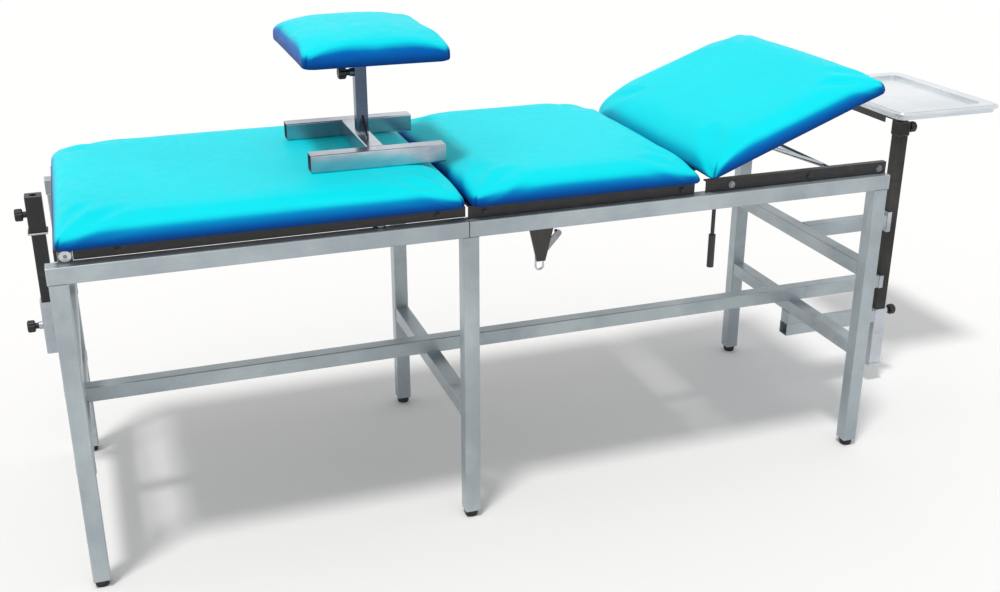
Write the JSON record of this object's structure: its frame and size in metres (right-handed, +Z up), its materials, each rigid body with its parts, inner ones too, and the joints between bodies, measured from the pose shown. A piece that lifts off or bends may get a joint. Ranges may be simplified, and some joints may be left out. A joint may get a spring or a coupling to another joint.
{
  "type": "traction table",
  "caption": "Three-section padded traction table on a square-tube frame, with rolling foot section, propped backrest, swivel tray on a post and a flexion stool.",
  "frame": {"origin": "on the floor, under the middle of the whole table with its posts and tray", "axes": "+X towards the head end with the tray, +Y away from the side with the levers, +Z up"},
  "size_m": [2.4865, 0.7522, 1.0723],
  "materials": {
    "frame_paint": "satin silver-grey paint on welded square tube",
    "cushion_vinyl": "bright turquoise vinyl, sewn and stapled under the board",
    "board_wood": "dark sealed plywood",
    "black_angle": "black paint on angle and tube",
    "post_paint": "dark grey paint on tube and plate",
    "bright_steel": "bright drawn and ground steel",
    "zinc_steel": "plain zinc-plated steel",
    "tray_steel": "pressed stainless sheet",
    "chrome_wire": "polished rod and tube",
    "knob_plastic": "black moulded plastic",
    "glide_rubber": "black rubber",
    "roller_steel": "bright bearing",
    "grip_plastic": "dark plastic sleeve"
  },
  "bodies": {
    "frame": {"foot_rail_near": "frame_paint", "foot_rail_far": "frame_paint", "head_rail_near": "frame_paint", "head_rail_far": "frame_paint", "rail_end_caps": "frame_paint", "foot_legs": "frame_paint", "middle_legs": "frame_paint", "head_legs": "frame_paint", "rubber_glides": "glide_rubber", "foot_upper_crossbar": "frame_paint", "foot_lower_crossbar": "frame_paint", "middle_crossbar": "frame_paint", "head_upper_crossbar": "frame_paint", "head_lower_crossbar": "frame_paint", "stretcher": "frame_paint", "head_upper_arm": "frame_paint", "head_middle_arm": "frame_paint", "head_lower_arm": "frame_paint", "head_post_guides": "bright_steel", "head_post_sleeve": "bright_steel", "foot_post_sleeve": "bright_steel", "middle_underframe": "black_angle", "head_ledges": "black_angle", "middle_board": "board_wood", "middle_cushion": "cushion_vinyl", "roller_brackets": "zinc_steel", "fixed_hinge_leaves": "zinc_steel", "ratchet_racks": "zinc_steel", "latch_bracket": "post_paint", "release_lever_bracket": "frame_paint"},
    "leg_section": {"leg_underframe": "black_angle", "leg_board": "board_wood", "leg_cushion": "cushion_vinyl"},
    "foot_rollers": {"foot_end_rollers": "roller_steel"},
    "seam_rollers": {"seam_end_rollers": "roller_steel"},
    "backrest": {"head_board": "board_wood", "head_cushion": "cushion_vinyl", "moving_hinge_leaves": "zinc_steel", "prop_ears": "zinc_steel"},
    "prop": {"prop_frame": "chrome_wire"},
    "tray_post": {"head_post": "post_paint", "head_post_block": "post_paint"},
    "tray": {"tray_pan": "tray_steel", "tray_rim": "tray_steel", "tray_swivel_pin": "zinc_steel", "tray_arm": "black_angle"},
    "post_knob": {"head_sleeve_knob": "knob_plastic"},
    "tray_knob": {"tray_clamp_knob": "knob_plastic"},
    "foot_end_post": {"foot_post": "black_angle", "foot_post_head": "black_angle"},
    "foot_lower_knob": {"foot_sleeve_knob": "knob_plastic"},
    "foot_upper_knob": {"foot_head_knob": "knob_plastic"},
    "stool": {"stool_base": "chrome_wire"},
    "stool_top": {"stool_stem": "chrome_wire", "stool_pad": "cushion_vinyl"},
    "stool_clamp_knob": {"stool_knob": "knob_plastic"},
    "latch": {"latch_lever": "zinc_steel"},
    "bail": {"latch_bail": "chrome_wire"},
    "release": {"release_lever": "grip_plastic"}
  },
  "joints": [
    {"name": "leg_section_roll", "type": "slide", "parent": "frame", "child": "leg_section", "axis": [-1, 0, 0], "range_m": [0, 0.12]},
    {"name": "foot_rollers_turn", "type": "hinge", "parent": "frame", "child": "foot_rollers", "pos_m": [-1.128, -0.051, 0.7227], "axis": [0, -1, 0], "range_deg": [-10, 590]},
    {"name": "seam_rollers_turn", "type": "hinge", "parent": "frame", "child": "seam_rollers", "pos_m": [-0.524, -0.051, 0.7227], "axis": [0, -1, 0], "range_deg": [-10, 590]},
    {"name": "backrest_tilt", "type": "hinge", "parent": "frame", "child": "backrest", "pos_m": [0.205, -0.051, 0.732], "axis": [0, -1, 0], "range_deg": [-21, 21]},
    {"name": "prop_swing", "type": "hinge", "parent": "backrest", "child": "prop", "pos_m": [0.37118, -0.051, 0.79579], "axis": [0, -1, 0], "range_deg": [-42.5, 42.5]},
    {"name": "tray_post_lift", "type": "slide", "parent": "frame", "child": "tray_post", "axis": [0, 0, 1], "range_m": [0, 0.1]},
    {"name": "tray_swivel", "type": "hinge", "parent": "tray_post", "child": "tray", "pos_m": [0.943, -0.051, 0.742], "axis": [0, 0, 1], "range_deg": [-90, 30]},
    {"name": "post_knob_turn", "type": "hinge", "parent": "frame", "child": "post_knob", "pos_m": [0.9713, -0.051, 0.205], "axis": [1, 0, 0], "continuous": true},
    {"name": "tray_knob_turn", "type": "hinge", "parent": "tray_post", "child": "tray_knob", "pos_m": [0.9603, -0.051, 0.724], "axis": [1, 0, 0], "continuous": true},
    {"name": "foot_post_slide", "type": "slide", "parent": "frame", "child": "foot_end_post", "axis": [0, 0, 1], "range_m": [-0.15, 0]},
    {"name": "foot_lower_knob_turn", "type": "hinge", "parent": "frame", "child": "foot_lower_knob", "pos_m": [-1.2183, 0.129, 0.399], "axis": [-1, 0, 0], "continuous": true},
    {"name": "foot_upper_knob_turn", "type": "hinge", "parent": "foot_end_post", "child": "foot_upper_knob", "pos_m": [-1.2083, 0.129, 0.665], "axis": [-1, 0, 0], "continuous": true},
    {"name": "stool_lift_off", "type": "slide", "parent": "leg_section", "child": "stool", "axis": [0, 0, 1], "range_m": [0, 0.15]},
    {"name": "stool_height", "type": "slide", "parent": "stool", "child": "stool_top", "axis": [0, 0, 1], "range_m": [-0.025, 0.07]},
    {"name": "stool_knob_turn", "type": "hinge", "parent": "stool", "child": "stool_clamp_knob", "pos_m": [-0.5103, -0.051, 0.9683], "axis": [-1, 0, 0], "continuous": true},
    {"name": "latch_turn", "type": "hinge", "parent": "frame", "child": "latch", "pos_m": [-0.169, -0.325, 0.602], "axis": [0, -1, 0], "range_deg": [0, 120]},
    {"name": "bail_swing", "type": "hinge", "parent": "frame", "child": "bail", "pos_m": [-0.169, -0.3206, 0.602], "axis": [0, 1, 0], "range_deg": [-40, 40]},
    {"name": "release_swing", "type": "hinge", "parent": "frame", "child": "release", "pos_m": [0.254, -0.317, 0.69], "axis": [0, 1, 0], "range_deg": [-20, 20]}
  ],
  "couplings": [
    {"joint": "foot_rollers_turn", "follows": "leg_section_roll", "rad_per_m": 83.333},
    {"joint": "seam_rollers_turn", "follows": "leg_section_roll", "rad_per_m": 83.333},
    {"joint": "prop_swing", "follows": "backrest_tilt", "ratio": -2}
  ]
}
